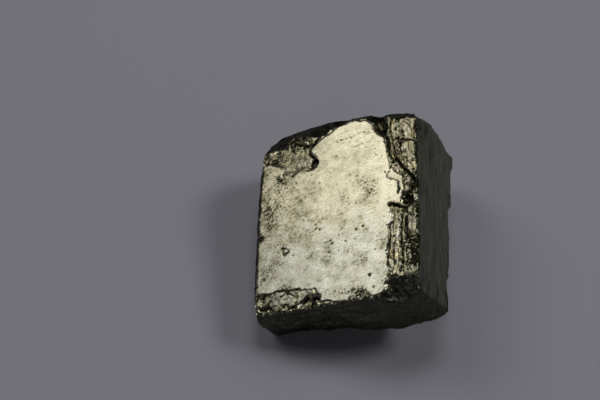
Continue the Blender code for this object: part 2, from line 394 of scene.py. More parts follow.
RIDGES = {
    "nook_rib": (0.13, 0.2, [(18.7, 27.6), (18.9, 27.2), (19.3, 26.9), (19.5, 26.3)]),
    "rib_a": (0.12, 0.16, [(20.45, 27.9), (20.6, 27.0), (20.65, 26.2)]),
    "rib_b": (0.11, 0.14, [(20.55, 25.2), (20.75, 24.3), (20.9, 23.4), (21.05, 22.5)]),
    "rib_c": (0.11, 0.16, [(21.2, 27.6), (21.1, 26.4), (21.15, 25.2), (21.35, 24.3)]),
    "rib_d": (0.1, 0.14, [(21.05, 21.9), (21.2, 21.2), (21.5, 20.6)]),
    "rib_e": (0.12, 0.18, [(21.5, 22.2), (21.75, 21.4), (22.15, 20.6), (22.4, 20.0)]),
    "rib_f": (0.12, 0.16, [(22.2, 22.6), (22.45, 21.6), (22.8, 20.7), (23.0, 20.0), (23.3, 19.2)]),
    "rib_g": (0.09, 0.12, [(22.3, 19.0), (22.55, 18.4)]),
    "oval_side": (0.24, 0.12, [(23.1, 27.0), (23.7, 26.3), (24.05, 25.4), (24.1, 24.3)]),
    "oval_side_low": (0.2, 0.12, [(23.5, 23.5), (23.6, 22.6), (23.9, 21.9)]),
    "rim_shine": (0.22, 0.12, [(23.7, 20.3), (24.1, 20.0), (24.2, 19.2)]),
    "lower_pale": (0.22, 0.12, [(21.4, 9.0), (21.5, 10.2), (21.6, 11.3), (21.5, 12.6)]),
    "lower_thin": (0.08, 0.14, [(22.75, 12.0), (22.75, 10.6), (22.65, 9.2), (22.65, 7.6)]),
    "lower_brass": (0.13, 0.12, [(21.7, 8.4), (21.65, 7.4), (21.45, 6.2), (21.45, 5.1)]),
    "lower_grey": (0.18, 0.1, [(22.1, 7.0), (22.1, 5.8), (22.0, 4.6)]),
    "lower_inner": (0.12, 0.08, [(21.05, 9.8), (21.05, 8.6), (20.95, 7.0), (20.9, 5.6)]),
    "lower_outer": (0.14, 0.12, [(22.9, 6.4), (22.95, 5.2), (22.8, 4.2), (22.9, 3.2)]),
    "lower_outer_b": (0.12, 0.12, [(23.3, 4.3), (23.6, 3.2), (23.5, 2.5)]),
    "bright_fleck": (0.22, 0.12, [(24.15, 11.4), (24.1, 10.4), (24.0, 9.4), (23.95, 8.8)]),
    "corner_fleck": (0.1, 0.15, [(24.7, 3.3), (24.75, 2.0)]),
    "glint_a": (0.16, 0.25, [(3.95, 27.4), (4.2, 27.8), (4.6, 28.2)]),
    "glint_b": (0.18, 0.3, [(5.5, 28.1), (5.9, 27.7), (6.2, 27.5)]),
    "chip_rib": (0.12, 0.22, [(5.4, 27.1), (6.2, 26.8), (7.0, 26.3)]),
    "chip_rib_b": (0.16, 0.2, [(7.0, 27.9), (7.4, 27.2), (7.9, 26.5), (8.2, 26.2)]),
    "ledge_glint": (0.16, 0.2, [(0.25, 1.9), (0.4, 1.3)]),
    "ledge_glint_b": (0.14, 0.22, [(7.9, 0.0), (8.3, 0.2)]),
    "ledge_rib": (0.12, 0.16, [(8.1, 1.1), (8.8, 1.5), (9.2, 2.0)]),
    "rim_rib": (0.1, 0.14, [(9.8, 0.4), (10.2, 0.0)]),
    "rim_rib_b": (0.08, 0.1, [(10.6, 0.35), (11.6, 0.3), (12.2, 0.05)]),
}
PIT_WIDTH, PIT_DEPTH = 0.8, 0.6  # the shares of a drawn pit's size that are really sunk
PITS = {  # place: (half width, depth)
    (17.75, 3.5): (0.17, 0.2), (16.6, 11.05): (0.13, 0.18), (15.6, 10.85): (0.16, 0.08),
    (10.65, 14.7): (0.09, 0.14), (10.8, 13.65): (0.09, 0.14), (7.9, 13.55): (0.09, 0.14),
    (8.3, 11.7): (0.1, 0.1), (11.6, 9.75): (0.14, 0.12), (11.85, 9.2): (0.12, 0.12),
    (10.9, 19.9): (0.1, 0.14), (9.4, 19.4): (0.08, 0.12), (8.2, 9.95): (0.09, 0.14),
    (5.1, 21.4): (0.2, 0.35), (16.9, 18.0): (0.1, 0.12), (14.5, 18.7): (0.09, 0.12),
    (19.95, 19.1): (0.12, 0.1), (5.65, 8.35): (0.12, 0.1), (15.2, 9.4): (0.14, 0.08),
    (12.9, 10.25): (0.12, 0.08), (14.0, 9.3): (0.12, 0.07), (16.35, 6.5): (0.12, 0.06),
    (16.3, 4.35): (0.08, 0.07), (9.9, 11.75): (0.14, 0.1), (9.3, 12.0): (0.14, 0.08),
    (11.5, 8.0): (0.14, 0.08), (11.7, 7.2): (0.1, 0.06), (2.7, 21.4): (0.25, 0.06),
    (3.2, 21.1): (0.18, 0.06), (8.1, 15.6): (0.08, 0.1), (5.55, 15.7): (0.08, 0.09),
    (3.35, 21.9): (0.16, 0.12), (3.75, 22.4): (0.12, 0.1), (4.0, 21.8): (0.14, 0.14),
    (4.5, 22.3): (0.12, 0.1), (4.6, 21.6): (0.12, 0.1), (3.6, 21.4): (0.12, 0.08),
    (5.4, 22.6): (0.12, 0.08), (6.4, 22.9): (0.1, 0.08),
    (1.15, 5.3): (0.14, 0.05), (13.4, 13.5): (0.09, 0.06), (18.3, 1.7): (0.22, 0.06),
}
# the broad stain over the middle left of the top face is painted shade, not dirt
STAINS = {  # drawn in dirt only, with no depth: half width, darkness, path
    "ledge_arc": (0.08, 0.35, [(3.5, 7.3), (4.1, 7.4), (4.7, 7.2)]),
    "left_arc": (0.1, 0.3, [(1.6, 14.4), (1.3, 13.4), (0.8, 12.6)]),
    "left_smudge": (0.45, 0.28, [(1.0, 17.2), (1.5, 16.2), (1.4, 14.8)]),
    "left_smudge_b": (0.35, 0.22, [(0.0, 16.0), (1.2, 16.3)]),
    "left_diagonal": (0.3, 0.2, [(0.9, 5.2), (1.8, 6.6), (2.2, 7.4)]),
    "left_diagonal_b": (0.6, 0.1, [(0.4, 4.4), (2.6, 8.6), (4.4, 13.4)]),
    "back_arc_a": (0.13, 0.28, [
        (12.4, 25.6), (13.6, 25.9), (14.6, 25.9), (15.3, 26.1), (16.2, 26.3), (17.6, 26.1),
    ]),
    "back_arc_b": (0.11, 0.34, [(15.0, 24.2), (16.4, 24.3), (17.2, 24.4), (17.8, 24.8), (18.0, 25.4)]),
    "back_arc_c": (0.1, 0.18, [(10.2, 22.9), (11.4, 22.5), (12.6, 22.6)]),
    "back_haze": (0.7, 0.12, [(10.5, 26.2), (13.5, 27.2), (15.8, 27.3)]),
    "grey_spot": (1.0, 0.24, [(16.2, 17.6), (17.2, 17.4), (18.3, 17.6)]),
    "grey_spot_b": (0.6, 0.2, [(17.4, 16.6), (18.3, 16.2)]),
    "patch_foot": (0.5, 0.24, [(2.5, 21.4), (3.3, 20.9)]),
    "ledge_pale": (0.9, -0.12, [(3.2, 2.2), (6.0, 2.3)]),
    "ledge_dirt": (0.32, 0.42, [(0.6, 2.7), (2.4, 2.9), (4.2, 3.2), (6.6, 3.0)]),
    "ledge_dirt_b": (0.25, 0.3, [(1.0, 2.0), (2.0, 1.5), (2.8, 2.2)]),
    "front_dirt": (0.3, 0.35, [(13.6, 1.3), (15.4, 1.5), (17.4, 1.3)]),
    "ledge_shade": (0.35, 0.25, [(4.0, 3.6), (4.8, 3.7), (5.2, 3.5)]),
    "front_haze": (0.5, 0.12, [(10.8, 1.4), (13.5, 1.6), (17.0, 1.8)]),
    "pit_cloud": (0.7, 0.1, [(7.5, 12.4), (8.6, 12.0), (10.0, 11.9)]),
    "pit_cloud_b": (0.6, 0.1, [(11.2, 9.2), (11.6, 8.0), (11.6, 6.6)]),
    "inner_dark": (0.4, 0.4, [
        (19.3, 27.8), (20.2, 26.2), (20.35, 24.5), (20.6, 23.0), (21.2, 21.2), (22.3, 19.8),
    ]),
    "outer_dark": (0.75, 0.5, [(24.1, 18.2), (23.9, 16.5), (23.6, 15.0)]),
    "outer_dark_low": (0.5, 0.5, [(24.0, 8.4), (24.1, 6.5), (24.2, 4.6)]),
    "grey_zone": (0.4, 0.3, [(23.0, 11.5), (22.9, 9.0), (23.1, 6.5), (23.1, 5.0)]),
    "oval_light": (0.4, -0.35, [(23.2, 26.8), (23.6, 25.8), (23.7, 24.5)]),
    "low_light": (0.35, -0.35, [(23.4, 21.8), (23.8, 20.6), (23.9, 19.5)]),
    "fleck_light": (0.28, -0.45, [(24.0, 11.4), (23.9, 9.8)]),
    "plate_light": (0.45, -0.2, [(21.5, 12.6), (21.4, 9.0), (21.3, 5.4)]),
    "corner_dark": (0.7, 0.6, [(20.9, 2.2), (21.3, 1.2), (20.8, 0.3)]),
    "scratch_a": (0.07, -0.45, [(14.5, 18.4), (14.55, 21.5), (14.6, 24.6)]),
    "scratch_b": (0.07, -0.3, [(10.0, 16.0), (10.2, 18.2), (10.3, 20.2)]),
    "scratch_c": (0.06, -0.25, [(15.2, 15.2), (15.3, 17.0)]),
    # painted shade over the middle left of the top face
    "painted_shade_left": (1.5, 0.2, [(2.4, 15.0), (3.4, 18.4), (3.2, 20.4)]),
    "cloud_low": (0.9, 0.13, [(1.0, 4.6), (2.2, 5.4), (2.8, 7.8)]),
    "cloud_back": (0.8, 0.1, [(13.2, 25.2), (16.0, 25.2), (17.8, 26.6)]),
}


def strokes(a, b, drawn):
    """The sum and the mask of bell-shaped strokes: height times exp(-(distance / width)^2)."""
    total, mask = np.zeros(a.shape), np.zeros(a.shape)
    for width, size, path in drawn.values():
        near = reach(a, b, path)
        bell = np.exp(-((near / width) ** 2))
        total += size * bell
        mask = np.maximum(mask, bell)
    return total, mask


sa, sb = wander(a, b, 0.1, 0.8, 61)
sa, sb = wander(sa, sb, 0.035, 0.25, 65)
cut, groove_mask = strokes(sa, sb, GROOVES)
raised, ridge_mask = strokes(sa, sb, RIDGES)
pit_paths = {  # a pit is a stroke too short to be anything but round
    (p, q): (PIT_WIDTH * width, deep, [(p, q), (p + 0.01, q)]) for (p, q), (width, deep) in PITS.items()
}
holes, pit_mask = strokes(sa, sb, pit_paths)
# the stains' colour: dirt, and painted shade over the middle left of the top face
smear_and_shade = strokes(sa, sb, STAINS)[0]
smear_and_shade += 0.07 * rise(sb - 0.05 * sa, 6.4, 6.7) * (1 - rise(sb, 9, 12.5)) * rise(sa, 6, 9)
print(len(GROOVES), "grooves,", len(RIDGES), "ridges,", len(PITS), "pits,", len(STAINS), "stains")

# %% [markdown]
# ## Contour lines of the border
#
# Between the drawn strokes the border carries finer lines, all running alongside its main
# groove. Their level is the distance sideways from that groove, bent by noise, and a sine of
# the level lays a ripple on the surface, so neighbouring lines never cross.

# %% Ripples along the border's main groove
GROOVE_ALONG = [
    0, 3.5, 4.4, 5.4, 6.5, 7.3, 10, 12.7, 13.2, 15.4, 17.9, 18.6, 19.4, 20.3, 21.3, 22.3, 24.9, 28.4,
]
GROOVE_ACROSS = [
    22.2, 22.3, 22.6, 22.65, 22.6, 22.3, 22.35, 22.6, 23.2, 23.7, 24.0, 23.4, 22.7, 22.1, 21.6, 21.35,
    20.9, 20.8,
]
RIPPLE_LENGTH, RIPPLE_HEIGHT = 0.52, 0.022
sideways = sa - np.interp(sb, GROOVE_ALONG, GROOVE_ACROSS)
level = sideways / RIPPLE_LENGTH + 0.55 * noise(a / 1.1, b / 2.6, seed=67)
level += 0.2 * noise(a / 0.4, b / 0.9, seed=68)
ripple = np.sin(2 * pi * level)
ripple_reach = rise(sideways, -2.3, -1.2) * (1 - rise(sideways, 0.9, 1.6)) * rise(a, 18.0, 19.0)
rippled = 100 * float((ripple_reach * off_plane > 0.5).mean())
print("ripples reach over", round(rippled, 1), "% of the top face")

# %% [markdown]
# ## Grain and waviness
#
# Worn pyrite breaks into small grains, so the border and the hollow at the back left get
# coarse bumps a few cells wide. The sound plane only gets waves too low to see except in
# what it mirrors, and the low steps that the growing crystal left on it.

# %% Grain, waves and growth steps of the top face
GRAIN_SPOTS = {  # middle: (half width, half length), where the metal is granular
    (5.2, 23.7): (3.1, 2.3), (22.9, 24.6): (1.6, 3.6), (23.9, 10.5): (0.9, 3.4), (21.4, 11.6): (0.7, 1.8),
    (23.7, 5.0): (1.0, 2.6), (1.3, 25.0): (1.4, 0.7), (3.0, 1.7): (2.8, 1.2), (16.2, 0.8): (1.5, 0.6),
    (6.2, 25.9): (2.0, 0.6), (21.2, 19.6): (0.6, 0.9),
}
PALE_SPOTS = {  # the same, where less dirt lies in the grain
    (5.1, 23.3): (2.9, 2.0), (23.5, 25.9): (0.8, 1.8), (23.6, 22.7): (0.5, 1.2), (24.0, 10.2): (0.4, 1.4),
    (21.4, 9.5): (0.6, 2.6), (21.2, 5.2): (0.7, 1.7), (5.2, 2.1): (3.6, 1.0),
}


def spots(a, b, places):
    """1 in the middle of each oval spot, falling to 0 at 1.35 times its size."""
    parts = [np.hypot((a - p) / w, (b - q) / l) for (p, q), (w, l) in places.items()]
    return 1 - rise(np.minimum.reduce(parts), 0.75, 1.35)


grain = np.clip(spots(a, b, GRAIN_SPOTS), 0, 1) * off_plane
grains = noise(a / 0.27, b / 0.27, seed=71) * 0.6 + noise(a / 0.55, b / 0.55, seed=72)
fine = noise(a / 0.3, b / 0.42, seed=73)
flakes = rise(rough(a / 0.42, b / 0.7, seed=76) + 0.35 * ripple * ripple_reach, -0.16, 0.16)
pale = rise(spots(a, b, PALE_SPOTS), 0.2, 0.8)
height += off_plane * (0.018 * grain * grains + 0.01 * fine - 0.05 * flakes * (1 - 0.7 * pale))
height += off_plane * ripple_reach * (1 - 0.7 * grain) * RIPPLE_HEIGHT * ripple
height += -cut - PIT_DEPTH * holes + raised
streak_turn = rise(a, 3, 16)  # streaks lie steeper on the left half
streak_b = b - a * (0.75 * (1 - streak_turn) + 0.12 * streak_turn)
waves = 0.012 * noise(a / 5, b / 4, seed=74) + 0.004 * noise(a / 2.4, streak_b / 0.5, seed=75)
height += on_plane * waves
print("finished top face:", round(float(height.min()), 2), "to", round(float(height.max()), 2), "mm")

# %% [markdown]
# ## The break underneath
#
# The rest of the surface hangs from the rim. Under the crystal it is the same break as in the
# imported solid: flat where it rests on the table, climbing to the ragged lower edge of the
# right face, and a little towards the front and the back. It is a height over the table. Two
# toes at the front right foot shape its edge, one lifting it and one drawing it down.

# %% The height of the break
FROM_CORNER = origin[:2]
REST_RIGHT, RIM_RIGHT, RIM_HEIGHT, RIM_SLANT = 18.6, 26.9, 8.4, 0.125
REST_FRONT, RIM_FRONT, FRONT_CLIMB = 6.0, -0.6, 0.18
REST_BACK, RIM_BACK, BACK_HEIGHT = 24.5, 30.0, 2.2
SHOULDER = 1.35
TOES = {(24.1, -0.9): (1.1, 1.8), (26.9, -0.6): (-1.3, 1.4)}  # where: (how much higher, how far round)


def climb(at, start, end):
    """0 up to start and 1 at end, along a hollow curve."""
    return np.maximum(0, (at - start) / (end - start)) ** SHOULDER


def break_height(x, y):
    """Height of the break over the table, from the corner of the top face, in mm."""
    right = RIM_HEIGHT * climb(x - RIM_SLANT * y, REST_RIGHT, RIM_RIGHT)
    front = FRONT_CLIMB * np.maximum(0, x) * climb(-y, -REST_FRONT, -RIM_FRONT)
    back = BACK_HEIGHT * climb(y, REST_BACK, RIM_BACK)
    lift = np.maximum.reduce([right, front, back])
    for (p, q), (more, radius) in TOES.items():
        lift = lift + more * np.exp(-((x - p) ** 2 + (y - q) ** 2) / radius**2)
    lumps = 0.45 * rough(x / 3.0, y / 3.0, seed=81) + 0.08 * rough(x / 0.8, y / 0.8, seed=84)
    return np.maximum(0, lift + np.minimum(lift, 1.2) * lumps)


# %% [markdown]
# ## The sides
#
# Each rim point gets a column of points straight down the side of the cube. Where the column
# ends is found by halving: is this depth still above the break, or already below it? Twenty-
# odd halvings place the lower edge to a hair. Then the rows turn under, follow the break, and
# shrink to one closing point. Striations, shallow steps and lumps push the sides in and out,
# and the foot bulges at three of the corners. The columns leave the ragged rim for the clean
# one just below it, or each of its nicks would run down the whole side as a flute.

# %% Rim ring, lower edge and the rows between
SIDE_ROWS, UNDER_ROWS = 38, 18
SIDE_CROWDING, UNDER_CROWDING = 1.15, 1.5  # powers over 1 crowd the rows near their start
DEEPEST = -24.0  # mm, a depth that is surely below the break
HALVINGS = 26
MIDDLE = (12.5, 15.5)  # the closing point underneath, from the corner of the top face
SOUTH, EAST = np.s_[0, :-1], np.s_[:-1, -1]
NORTH, WEST = np.s_[-1, :0:-1], np.s_[:0:-1, 0]


def ring(grid):
    """The border of a grid as one closed loop, starting at the front left corner."""
    return np.concatenate([grid[SOUTH], grid[EAST], grid[NORTH], grid[WEST]])


rim_a, rim_b, rim_c = ring(a), ring(b), ring(height)
clean = np.concatenate([clean_front[:-1], clean_right[:-1], clean_back[:0:-1], clean_left[:0:-1]])
clean_a, clean_b = clean.T
step_a = np.roll(clean_a, -3) - np.roll(clean_a, 3)
step_b = np.roll(clean_b, -3) - np.roll(clean_b, 3)
length = np.hypot(step_a, step_b)
out_a, out_b = step_b / length, -step_a / length
facing = {"right": out_a, "front": -out_b, "left": -out_a, "back": out_b}


def side_relief(a, b, c, depth):
    """How far each side point is pushed out: lumps, and steps drawn out along the face."""
    share = {name: rise(value, 0.5, 0.9)[None] for name, value in facing.items()}
    lumps = 0.16 * rough(a / 4.5, b / 4.5, c / 4.5, seed=91)
    level = (c + 0.5 * noise(a / 6, b / 6, seed=92)) / 1.6
    steps = np.floor(level) + rise(level - np.floor(level), 0.75, 1.0)
    lamella = 0.07 * noise(steps, 0.3, seed=93)
    chip_band = np.exp(-depth / 1.1)
    nicks = rough(a / 0.9, b / 0.9, c / 0.9, seed=94)
    front = -0.2 * chip_band * np.abs(nicks) + 0.24 * rough(a / 2.6, b / 1.2, c / 1.7, seed=95)
    front += 0.1 * np.abs(rough(a / 0.9, b / 0.8, c / 0.8, seed=98))
    right = 0.03 * nicks - 0.1 * chip_band * np.abs(nicks) + 0.12 * rough(b / 6.0, c / 1.6, seed=99)
    left = 0.05 * noise(b / 5, c / 0.8, seed=96) - 0.12 * chip_band * np.abs(nicks)
    front_left = np.exp(-(a**2 + b**2) / 4.0**2)
    back_right = np.exp(-((a - 24.5) ** 2 + (b - 27.7) ** 2) / 4.0**2)
    foot = 0.9 * front_left * rise(depth, 0.0, 2.5)
    foot += 0.7 * back_right * rise(depth, 0.5, 3.5) * (1 - rise(depth, 8, 12))
    back = 0.1 * noise(a / 0.9, c / 5, seed=97) + 0.1 * nicks
    mixed = share["front"] * front + share["right"] * (right + lamella)
    mixed += share["left"] * (left + lamella) + share["back"] * back
    return (lumps + mixed + foot) * rise(depth, 0.0, 0.5)


def above_break(c):
    """How far a side point at height c stands over the break, in mm."""
    place = to_world(clean_a, clean_b, c)
    return place[:, 2] - break_height(place[:, 0] - FROM_CORNER[0], place[:, 1] - FROM_CORNER[1])


upper, lower = rim_c.copy(), np.full(rim_c.shape, DEEPEST)
for _ in range(HALVINGS):
    middle = (upper + lower) / 2
    over = above_break(middle) > 0
    upper, lower = np.where(over, middle, upper), np.where(over, lower, middle)
edge_c = (upper + lower) / 2
down = np.linspace(0, 1, SIDE_ROWS + 1)[1:, None] ** SIDE_CROWDING
side_c = rim_c + (edge_c - rim_c) * down
depth = rim_c - side_c
healed = rise(depth, 0.2, 1.6)  # the raggedness of the rim dies out down the side
side_a, side_b = rim_a + (clean_a - rim_a) * healed, rim_b + (clean_b - rim_b) * healed
push = side_relief(side_a, side_b, side_c, depth)
# the front right foot spreads to the right
spread = 0.55 * np.exp(-((side_b / 6) ** 2)) * rise(side_a, 19, 24.5) * rise(depth, 2.0, 7.0)
side = to_world(side_a + out_a * push + spread, side_b + out_b * push, side_c)
deepest = round(float(depth.max()), 1)
print("sides:", side.shape[0], "rows of", side.shape[1], "points, the right face", deepest, "mm deep")

# %% Rows under the crystal
edge = side[-1]
heart = np.array([FROM_CORNER[0] + MIDDLE[0], FROM_CORNER[1] + MIDDLE[1], 0.0])
inward = (np.arange(1, UNDER_ROWS) / UNDER_ROWS)[:, None] ** UNDER_CROWDING
under_x = edge[:, 0] + (heart[0] - edge[:, 0]) * inward
under_y = edge[:, 1] + (heart[1] - edge[:, 1]) * inward
under_z = break_height(under_x - FROM_CORNER[0], under_y - FROM_CORNER[1])
under = np.stack([under_x, under_y, under_z], axis=-1)
side[-1, :, 2] = break_height(edge[:, 0] - FROM_CORNER[0], edge[:, 1] - FROM_CORNER[1])
print("under rows:", under.shape[0], "and lowest point", round(float(under_z.min()), 3), "mm")

# %% [markdown]
# ## One closed mesh
#
# The top grid's border is the skirt's first ring, so the two share those points and nothing
# has to be welded. `from_pydata` takes the points and the four-cornered faces, and a fan of
# triangles closes the last ring on its middle point. The sum of the signed volumes under the
# faces tells whether they point outwards.

# %% Build the crystal's mesh
PIECE = "pyrite_specimen"
SHARP_ANGLE = radians(42)  # an edge bent more than this stays crisp in the smooth shading


def grid_faces(index):
    """Four-cornered faces between neighbouring rows and columns of a grid of point numbers."""
    corners = [index[:-1, :-1], index[:-1, 1:], index[1:, 1:], index[1:, :-1]]
    return np.stack(corners, axis=-1).reshape(-1, 4)


def make_mesh(name, points, quads, triangles):
    """A mesh of these points in metres, with its faces turned to point outwards."""
    corners = points[np.concatenate([quads[:, :3], quads[:, [0, 2, 3]], triangles])]
    volume = np.einsum("ij,ij->", corners[:, 0], np.cross(corners[:, 1], corners[:, 2])) / 6
    if volume < 0:
        quads, triangles = quads[:, ::-1], triangles[:, ::-1]
    mesh = bpy.data.meshes.new(name)
    mesh.from_pydata((points * MM).tolist(), [], quads.tolist() + triangles.tolist())
    mesh.update()
    count = len(quads) * 2 + len(triangles)
    print(name, "holds", round(abs(volume) / 1000, 2), "cubic cm and", count, "triangles")
    return mesh


top_points = to_world(a, b, height).reshape(-1, 3)
top_index = np.arange(a.size).reshape(a.shape)
skirt = np.concatenate([side, under]).reshape(-1, 3)
skirt_index = a.size + np.arange(len(skirt)).reshape(-1, len(rim_a))
rings = np.concatenate([ring(top_index)[None], skirt_index])
rings = np.concatenate([rings, rings[:, :1]], axis=1)
points = np.concatenate([top_points, skirt, heart[None]])
fan = np.stack([rings[-1, 1:], rings[-1, :-1], np.full(len(rim_a), len(points) - 1)], axis=1)
quads = np.concatenate([grid_faces(top_index), grid_faces(rings)[:, ::-1]])
crystal_mesh = make_mesh(PIECE, points, quads, fan)
crystal_mesh.shade_smooth()
crystal_mesh.set_sharp_from_angle(angle=SHARP_ANGLE)
crystal = bpy.data.objects.new(PIECE, crystal_mesh)
bpy.context.scene.collection.objects.link(crystal)

# %% [markdown]
# ## Where the metal is dirty, brassy or granular
#
# Four masks from 0 to 1 are stored on the mesh's points as attributes, so that the material
# can follow the features that shaped the surface. Tarnish is the dark film in grooves, in pits
# and all over the older faces at the sides; over the middle left of the top face it also holds
# painted shade. Brass is the yellow tint of rubbed ridges. Grain is the broken, crumbly texture
# of the worn patches. Patina says what the film is like: nearly black dirt where it is 0, and a
# grey skin that streaks along the faces where it is 1.

# %% Masks as point attributes
def side_masks(a, b, c, depth):
    """Tarnish, brass, grain and patina down the sides. The front face is darkest, most at its right end.
    """
    front, right = rise(facing["front"], 0.1, 0.6), rise(facing["right"], 0.4, 0.9)
    cloud = rough(a / 3.5, b / 3.5, c / 2.0, seed=101)
    tarnish = 1.0 + 0.12 * cloud + 0.05 * front - 0.02 * right
    brass = 0.12 + 0.1 * noise(a / 2, b / 2, c / 2, seed=102)
    grain = 0.35 + 0.15 * cloud + 0.3 * np.exp(-depth / 0.8)
    patina = 0.98 + 0.15 * cloud - rise(facing["front"], 0.15, 0.6) * (0.44 + 0.26 * rise(a, 12, 23))
    patina = patina * rise(depth, 0.0, 0.6)
    return tarnish, brass, grain, patina


specks = noise(a / 0.22, b / 0.22, seed=104)
dirt = 0.13 + 0.38 * flakes + (0.2 + 0.15 * grain) * specks - 0.14 * ripple_reach * ripple
dirt = dirt * (1 - 0.6 * pale) - 0.14 * pale + smear_and_shade - 0.8 * ridge_mask
tarnish_and_shade_top = off_plane * np.maximum(dirt, stain * (1 - 0.8 * ridge_mask))
tarnish_and_shade_top = np.maximum(tarnish_and_shade_top, np.maximum(groove_mask, pit_mask)) + smear_and_shade * on_plane
gilt = rise(b, 25.5, 26.5) * (1 - rise(a, 9.0, 10.0))  # the ribs in the back left chips are yellowest
yellow = off_plane * (0.15 + 0.5 * noise(a / 0.7, b / 0.7, seed=105))
brass_top = np.clip(ridge_mask * (0.8 + gilt) + yellow, 0, 1)
patina_top = 0.8 * rise(a, 19.5, 21.5) * (1 - rise(b, 2.0, 4.0)) + 0.4 * (1 - rise(b, -0.1, 0.3))
top_and_under = {  # mask: (on the top face, under the crystal)
    "tarnish": (tarnish_and_shade_top, 0.8),
    "brass": (brass_top, 0.15),
    "grain": (grain, 0.8),
    "patina": (patina_top, 1.0),
}
side_parts = side_masks(rim_a, rim_b, side_c, depth)
under_count = under.shape[0] * under.shape[1] + 1
for (name, (top, below)), side_part in zip(top_and_under.items(), side_parts):
    values = np.concatenate([top.ravel(), side_part.ravel(), np.full(under_count, below)])
    values = np.clip(values, 0, 1).astype(np.float32)
    stored = crystal_mesh.attributes.new(name, "FLOAT", "POINT")
    stored.data.foreach_set("value", values)
    print(name, "averages", round(float(values.mean()), 2))

# %% [markdown]
# ## The metal
#
# Pyrite is a metal to a shader: no colour of its own under the shine, only a tinted mirror.
# The pale brass mirror is broken up in four ways. Long faint streaks tint it and change its
# roughness, running slantwise on the left and nearly level on the right, as the growth lines
# do. Tiny pits darken it. Grains tilt it at random. Tarnish dims and dulls it. Where the top
# is most worn, fine dark lines, freckles and rust-brown specks join them. The same wear mask
# also paints shade, deeper towards the left rim, and paints light at the back right, where
# it thins those marks out. On the old side faces the streaks run from front to back in a grey
# skin. The patterns are laid along the crystal's edges, with a Mapping node that undoes its
# lean.

# %% Small helpers for shader nodes
def add_node(tree, kind, values=(), **settings):
    """A node with its settings, and its inputs filled by name or number from values."""
    made = tree.nodes.new("ShaderNode" + kind)
    for key, value in settings.items():
        setattr(made, key, value)
    for key, value in dict(values).items():
        if isinstance(value, bpy.types.NodeSocket):
            tree.links.new(value, made.inputs[key])
        else:
            made.inputs[key].default_value = value
    return made


def maths(tree, kind, first, second=0.5, clamp=False):
    """One step of arithmetic on two values or sockets."""
    return add_node(tree, "Math", {0: first, 1: second}, operation=kind, use_clamp=clamp).outputs[0]


def blend(tree, share, first, second):
    """A colour between two others."""
    return add_node(tree, "Mix", {0: share, 6: first, 7: second}, data_type="RGBA").outputs[2]


def between(tree, share, first, second):
    """A value between two others."""
    return add_node(tree, "Mix", {0: share, 2: first, 3: second}, data_type="FLOAT").outputs[0]


def remap(tree, value, low, high, to_low=0.0, to_high=1.0):
    """A value carried from one range to another, and kept inside it."""
    ranges = {0: value, 1: low, 2: high, 3: to_low, 4: to_high}
    return add_node(tree, "MapRange", ranges).outputs[0]


def attribute(tree, name):
    """One of the mesh's masks."""
    return add_node(tree, "Attribute", attribute_name=name).outputs["Fac"]


def add(tree, first, second, clamp=False):
    """The sum of two values or sockets."""
    return maths(tree, "ADD", first, second, clamp)


def times(tree, first, second):
    """The product of two values or sockets."""
    return maths(tree, "MULTIPLY", first, second)


def cloudy(tree, vector, scale, detail, roughness=0.5):
    """Noise: how fine it is, how many finer layers it has and how strong those are."""
    values = {"Vector": vector, "Scale": scale, "Detail": detail, "Roughness": roughness}
    return add_node(tree, "TexNoise", values).outputs[0]


print("node helpers ready")

# %% The pyrite material
CREAM, SILVER = (0.92, 0.855, 0.62, 1), (0.82, 0.81, 0.665, 1)
STRAW, BRASS = (0.84, 0.775, 0.48, 1), (0.76, 0.66, 0.34, 1)
HAZE, DIRT = (0.38, 0.365, 0.2, 1), (0.026, 0.024, 0.016, 1)
TARNISH, OLD_TARNISH = (0.23, 0.233, 0.184, 1), (0.1, 0.102, 0.08, 1)
EDGE_TINT, RUSTY = (0.92, 0.93, 0.86, 1), (0.42, 0.26, 0.1, 1)
LEVEL_TURN, SLANT_TURN = 9, 38  # degrees that the streaks turn from a, at the right and at the left


def crystal_space(tree):
    """Object coordinates turned into the crystal's own a, b and c in millimetres."""
    upright = LEAN.to_matrix().inverted()
    place = add_node(tree, "TexCoord").outputs["Object"]
    moved = {
        "Vector": place,
        "Scale": (1 / MM,) * 3,
        "Rotation": upright.to_euler(),
        "Location": -(upright @ Vector(origin)),
    }
    return add_node(tree, "Mapping", moved).outputs["Vector"]


def streaks(tree, space, turn):
    """Noise drawn out along a direction that is turned from the crystal's a axis."""
    turned = add_node(tree, "Mapping", {"Vector": space, "Rotation": (0, 0, radians(-turn))})
    drawn = add_node(tree, "Mapping", {"Vector": turned.outputs[0], "Scale": (0.36, 1.0, 0.5)})
    return cloudy(tree, drawn.outputs[0], 2.6, 5.0, 0.62)


